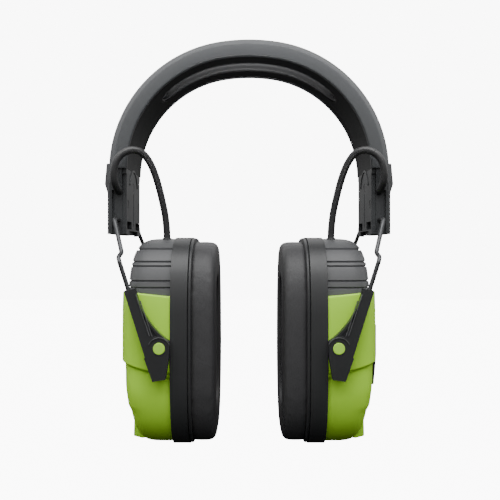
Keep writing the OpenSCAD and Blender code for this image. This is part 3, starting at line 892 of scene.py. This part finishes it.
def dome_depth(point):
    return sum(groove(point.z - z, GROOVE_HALF, depth) for z, depth in DOME_GROOVES.items())


def end_rows(top, fall, steps=14):
    """Heights that crowd towards a pod's end, where the first row leaves an opening at the rim."""
    return [top + fall * (k / steps) ** 2.2 for k in range(steps)]


def add_dome(side_name):
    """The grooved dome, which fits inside the shell's top."""
    b = SHELL_HALF_DEPTH - WALL - 0.2
    h = SHELL_HALF_HEIGHT
    d = SHELL_REACH - WALL - 0.2
    top = CUP_Z + h - 0.01
    low = SEAM_Z - 4
    levels = end_rows(top, -5) + heights(top - 5, low, 0.28)
    cols = 72
    outer = pushed_in([pod_row(z, b, h, d, cols) for z in levels], dome_depth)
    inner_levels = [min(z, CUP_Z + h - WALL - 0.01) for z in levels]
    inner = [pod_row(z, b - WALL, h - WALL, d - WALL, cols) for z in inner_levels]
    piece = closed_shell("dome_" + side_name, outer, inner, SIDES[side_name])
    finish_piece(piece, "cup_dome_" + side_name)


DOOR_Z = (-177.9, -133.6)
DOOR_HALF = 16
DOOR_GAP = 0.3
DOOR_HINGE = (61, -176.8)
KNUCKLE_INSET = 9
JACK = (60, 0, -190)
JACK_BORE = 3.05


def crease_depth(x, z):
    """How far in the shell is below its crease, which runs lower towards the rim."""
    below = CREASE_Z - CREASE_SLOPE * max(0, 62.5 - x) - z
    return (CREASE_DEPTH * step_up(below / CREASE_WALL)
            - CREASE_RETURN * step_up((below - CREASE_WALL) / CREASE_FADE))


def shell_depth(point):
    """How far in the shell is at its crease and at its rounded upper lip."""
    lip = 0.9
    edge = max(0, lip - (SEAM_Z - point.z))
    rounding = lip - math.sqrt(max(0, lip * lip - edge * edge))
    return min(rounding, 0.8) + crease_depth(point.x, point.z)


def seam_lift(rows):
    """The rows with the seam's height raised towards the outer face, fading out below it."""
    rise, reach, fall = 2, 19, 20
    lifted = []
    for row in rows:
        fade = step_up(1 - (SEAM_Z - row[0].z) / fall)
        lifted.append([p + Vector((0, 0, fade * rise * min(1, (p.x - RIM_OUTER_X) / reach))) for p in row])
    return lifted


def add_shell(side_name):
    """The green shell, with the door's opening on the left and the jack's bore on the right."""
    b, h, d = SHELL_HALF_DEPTH, SHELL_HALF_HEIGHT, SHELL_REACH
    bottom = CUP_Z - h + 0.01
    levels = heights(SEAM_Z, SEAM_Z - 1.2, 0.12) + heights(SEAM_Z - 1.4, CREASE_Z + 1.5, 0.9)
    levels += heights(CREASE_Z + 0.6, CREASE_Z - 7, 0.22) + heights(CREASE_Z - 7.6, bottom + 6, 0.9)
    levels += list(reversed(end_rows(bottom, 5)))
    cols = 96
    outer = seam_lift(pushed_in([pod_row(z, b, h, d, cols) for z in levels], shell_depth))
    inner_levels = [max(z, CUP_Z - h + WALL + 0.01) for z in levels]
    inner = [pod_row(z, b - WALL, h - WALL, d - WALL, cols) for z in inner_levels]
    piece = closed_shell("shell_" + side_name, outer, inner, SIDES[side_name])
    if side_name == "left":
        half = DOOR_HALF + DOOR_GAP
        cut_box(piece, (-75, -half, DOOR_Z[0] - 1.5), (-50, half, DOOR_Z[1] + DOOR_GAP))
    else:
        cut_rod(piece, JACK, JACK_BORE)
    finish_piece(piece, "cup_shell_" + side_name)


def add_foot(side_name):
    """The square foot at the bottom of a shell's outer face."""
    outline = [(57, -184), (61.4, -185), (61.8, -199.4), (57, -200.6), (50, -199.6)]
    piece = prism("foot_" + side_name, outline, -7, 7, SIDES[side_name])
    round_edges(piece, edge=0.7, segments=3)
    if side_name == "right":
        cut_rod(piece, JACK, JACK_BORE)
    add_detail(piece, "cup_" + side_name, "shell")


def add_battery_door():
    """A patch of the left shell's own surface, with a finger groove at its top and two hinge knuckles."""
    rows, cols, thickness = 60, 40, 2.5
    groove_half, groove_drop, groove_depth = 6.5, 4, 0.9
    edge_width, edge_fall = 0.7, 0.6

    def skin(y, z):
        return pod_x(y, z, SHELL_HALF_DEPTH, SHELL_HALF_HEIGHT, SHELL_REACH)

    def at(y, z):
        """The door's outer face, which falls away a little at its edge."""
        crease = crease_depth(RIM_OUTER_X + SHELL_REACH, z)
        from_groove = math.hypot(y, (z - DOOR_Z[1] + groove_drop) * 1.8)
        finger = groove_depth * step_up((groove_half - from_groove) / 2)
        from_edge = min(DOOR_HALF - abs(y), DOOR_Z[1] - z, z - DOOR_Z[0])
        rim = edge_fall * (1 - step_up(from_edge / edge_width))
        return skin(y, z) - crease - finger - rim

    def border(count, low, high):
        """Positions that crowd towards both ends."""
        shares = [0.5 - 0.5 * math.cos(math.pi * k / count) for k in range(count + 1)]
        return [low + (high - low) * share for share in shares]

    grid = [[(y, z) for y in border(cols, -DOOR_HALF, DOOR_HALF)] for z in border(rows, *DOOR_Z)]
    outer = [[Vector((at(y, z), y, z)) for y, z in row] for row in grid]
    inner = [[Vector((skin(y, z) - thickness, y, z)) for y, z in row] for row in grid]
    door = closed_shell("battery_door_skin", outer, inner, -1)
    finish_piece(door, "battery_door")
    for end, y0 in (("front", -DOOR_HALF), ("rear", KNUCKLE_INSET)):
        points = circle(DOOR_HINGE, 1.3, 24)
        knuckle = prism("door_knuckle_" + end, points, y0, y0 + DOOR_HALF - KNUCKLE_INSET, -1)
        round_edges(knuckle, edge=0.2)
        add_detail(knuckle, "battery_door", "shell")


for name in SIDES:
    add_dome(name)
    add_shell(name)
    add_foot(name)
add_battery_door()

# ---------- small parts on the cups ----------


def add_hood(side_name):
    """The smooth teardrop cover over a microphone."""
    node = "microphone_hood_" + side_name
    piece = plain_copy(node)
    add_remesh(piece, voxel=0.25)
    add_smooth(piece, times=6)
    apply_modifiers(piece)
    shade_smooth(piece)
    finish_piece(piece, node)


def add_foam(side_name):
    """The open-celled foam sheet inside a cup, with a slightly uneven face."""
    node = "acoustic_foam_" + side_name
    piece = plain_copy(node)
    add_remesh(piece, voxel=0.8)
    lumps = bpy.data.textures.new(node + "_lumps", "CLOUDS")
    lumps.noise_scale = 3 * MM
    uneven = piece.modifiers.new("uneven", "DISPLACE")
    uneven.texture = lumps
    uneven.strength = 0.5 * MM
    uneven.mid_level = 0.9
    apply_modifiers(piece)
    shade_smooth(piece)
    finish_piece(piece, node)


BUTTON_TOP = 67.6
MARK_HALF = 1.6
RING_RADII = (1.9, 1.2)
# The height of each button's middle, and which way its triangle points.
BUTTONS = {"up": (-145, 1), "power": (-154, 0), "down": (-163, -1)}


def add_buttons():
    """Three domed buttons, two with a raised triangle and one with a raised, split ring."""
    outer, inner = RING_RADII
    for key, (z, turn) in BUTTONS.items():
        softened("button_" + key, edge=0.9, segments=4)
        if turn:
            outline = [(-MARK_HALF, z - turn), (MARK_HALF, z - turn), (0, z + MARK_HALF * turn)]
        else:
            outline = arc((0, z), outer, 0, 350, 30) + arc((0, z), inner, 350, 0, 30)
        mark = slab("button_mark_" + key, outline, BUTTON_TOP - 0.3, BUTTON_TOP + 0.25)
        round_edges(mark, edge=0.1)
        add_detail(mark, "button_" + key, "sleeve")


for name in SIDES:
    add_hood(name)
    add_foam(name)
    softened("cable_grommet_" + name, edge=0.4, segments=3)
softened("audio_jack", edge=0.3, segments=3)
softened("control_pad", edge=0.5, segments=3, angle=50)
add_buttons()

# ---------- ear cushions ----------

CUSHION_BACK = 28.2
CUSHION_FACE = 15.9
CUSHION_Z = -147.6
CUSHION_OUTER = (37.2, 53.0)
CUSHION_INNER = (19.0, 31.0)
CUSHION_INSET = 0.8
CUSHION_TUCK = 1.2
CUSHION_VOXEL = 1.6
SIMULATED_FRAMES = 20


def oval_point(b, h, turn):
    """A point of an oval with half sizes b and h, as (y, z)."""
    c, s = math.cos(turn), math.sin(turn)
    return b * signed_pow(c, 2 / OVAL_POWER), CUSHION_Z + h * signed_pow(s, 2 / OVAL_POWER)


def cushion_section(inset):
    """The ring's section as (x, half sizes of the nearer oval, offset from that oval) points."""
    outer_round, inner_round, steps = 4.2, 4.5, 6
    loop = [(CUSHION_BACK + CUSHION_TUCK, CUSHION_OUTER, -inset)]
    for k in range(steps + 1):
        turn = math.pi / 2 * k / steps
        x = CUSHION_FACE + outer_round - (outer_round - inset) * math.sin(turn)
        loop.append((x, CUSHION_OUTER, -outer_round + (outer_round - inset) * math.cos(turn)))
    for k in range(steps + 1):
        turn = math.pi / 2 * k / steps
        x = CUSHION_FACE + inner_round - (inner_round - inset) * math.cos(turn)
        loop.append((x, CUSHION_INNER, inner_round - (inner_round - inset) * math.sin(turn)))
    loop.append((CUSHION_BACK + CUSHION_TUCK, CUSHION_INNER, 1.0 + inset))
    return loop


def cushion_start(inset):
    """The ring before it is puffed out, remeshed evenly."""
    around = 120
    section = cushion_section(inset)
    points = []
    for x, (b, h), offset in section:
        for k in range(around):
            y, z = oval_point(b + offset, h + offset, 2 * math.pi * (k + 0.5) / around)
            points.append((x, y, z))
    piece = make_mesh("cushion_start", points, grid_faces(len(section), around, 0, True, True))
    face_outward(piece)
    add_remesh(piece, voxel=CUSHION_VOXEL)
    add_smooth(piece, times=2)
    apply_modifiers(piece)
    return piece


def puff_out(piece, pressure, cap):
    """Blows a closed skin up as cloth held at its back, and limits how far each point moves."""
    start = [v.co.copy() for v in piece.data.vertices]
    held = piece.vertex_groups.new(name="held")
    back = (CUSHION_BACK - 0.6) * MM
    held.add([v.index for v in piece.data.vertices if v.co.x > back], 1.0, "REPLACE")
    cloth = piece.modifiers.new("cloth", "CLOTH")
    cloth.settings.vertex_group_mass = "held"
    cloth.settings.quality = 6
    cloth.settings.use_pressure = True
    cloth.settings.uniform_pressure_force = pressure
    cloth.settings.effector_weights.gravity = 0
    cloth.point_cache.frame_end = SIMULATED_FRAMES
    for step in range(1, SIMULATED_FRAMES + 1):
        bpy.context.scene.frame_set(step)
    puffed = piece.evaluated_get(bpy.context.evaluated_depsgraph_get()).data
    moved = [v.co.copy() for v in puffed.vertices]
    piece.modifiers.clear()
    bpy.context.scene.frame_set(1)
    for vertex, before, after in zip(piece.data.vertices, start, moved):
        step = after - before
        if step.length > cap * MM:
            step = step.normalized() * cap * MM
        vertex.co = before + step


def add_cushions():
    """One ring is simulated, and the left cushion is its mirror image."""
    right = cushion_start(CUSHION_INSET)
    puff_out(right, pressure=4, cap=CUSHION_INSET * 1.15)
    add_smooth(right, times=4)
    finer = right.modifiers.new("finer", "SUBSURF")
    finer.levels = 1
    finer.render_levels = 1
    apply_modifiers(right)
    shade_smooth(right)
    right.name = "cushion_right"
    left = add_object("cushion_left", right.data.copy())
    edit = bmesh.new()
    edit.from_mesh(left.data)
    for vertex in edit.verts:
        vertex.co.x = -vertex.co.x
    bmesh.ops.reverse_faces(edit, faces=edit.faces)
    edit.to_mesh(left.data)
    edit.free()
    for piece, side_name in ((right, "right"), (left, "left")):
        finish_piece(piece, "ear_cushion_" + side_name)


add_cushions()

# ---------- floor and light ----------

BACKDROP = 9.0
SKY_ABOVE = 1.6
SKY_BELOW = 0.02


def add_area_light(name, location, target, size, power, spread=180):
    """A soft panel light of a size in metres and a power in watts, aimed at a target."""
    data = bpy.data.lights.new(name, "AREA")
    data.shape = "RECTANGLE"
    data.size, data.size_y = size
    data.energy = power
    data.spread = math.radians(spread)
    light = bpy.data.objects.new(name, data)
    light.location = location
    aim = Vector(target) - Vector(location)
    light.rotation_euler = aim.to_track_quat("-Z", "Y").to_euler()
    bpy.context.collection.objects.link(light)
    light.visible_camera = False


def add_floor():
    """A wide pale floor, well below the earmuff."""
    mesh = bpy.data.meshes.new("floor")
    far, level = 6.0, -0.6
    corners = [(-far, -far, level), (far, -far, level), (far, far, level), (-far, far, level)]
    mesh.from_pydata(corners, [], [(0, 1, 2, 3)])
    floor = add_object("floor", mesh)
    surface = Surface("floor_paper", 0.9).colour((0.9, 0.9, 0.9), 0.01, 2.0)
    node_input(surface.shader, "Emission Color", (1, 1, 1, 1))
    node_input(surface.shader, "Emission Strength", BACKDROP)
    mesh.materials.append(surface.material)
    floor.visible_diffuse = False
    floor.visible_glossy = False


def add_world():
    """A white surround behind the earmuff, and a soft light that comes mostly from above."""
    world = bpy.data.worlds.new("studio")
    world.use_nodes = True
    tree = world.node_tree
    nodes, link = tree.nodes, tree.links.new
    seen = nodes["Background"]
    seen.inputs["Color"].default_value = (1, 1, 1, 1)
    seen.inputs["Strength"].default_value = BACKDROP
    lit = nodes.new("ShaderNodeBackground")
    coordinate = nodes.new("ShaderNodeTexCoord")
    split = nodes.new("ShaderNodeSeparateXYZ")
    link(coordinate.outputs["Generated"], split.inputs["Vector"])
    ramp = nodes.new("ShaderNodeMapRange")
    ramp.interpolation_type = "SMOOTHSTEP"
    ramp.inputs["From Min"].default_value = -0.25
    ramp.inputs["From Max"].default_value = 0.7
    ramp.inputs["To Min"].default_value = SKY_BELOW
    ramp.inputs["To Max"].default_value = SKY_ABOVE
    link(split.outputs["Z"], ramp.inputs["Value"])
    link(ramp.outputs["Result"], lit.inputs["Strength"])
    choice = nodes.new("ShaderNodeMixShader")
    path = nodes.new("ShaderNodeLightPath")
    link(path.outputs["Is Camera Ray"], choice.inputs["Fac"])
    link(lit.outputs["Background"], choice.inputs[1])
    link(seen.outputs["Background"], choice.inputs[2])
    link(choice.outputs["Shader"], nodes["World Output"].inputs["Surface"])
    bpy.context.scene.world = world


add_floor()
add_world()
add_area_light("top_light", (0, -0.3, 0.35), (0, 0, -0.1), size=(0.7, 0.3), power=3.3)
add_area_light("pocket_light", (0, -0.2, -0.16), (0, 0, 0), size=(0.03, 0.03), power=0.015, spread=36)
for side_name, side in SIDES.items():
    place = (side * 0.6, 0.0, 0.02)
    add_area_light("side_light_" + side_name, place, (0, 0, -0.06), size=(0.06, 0.24), power=0.22)
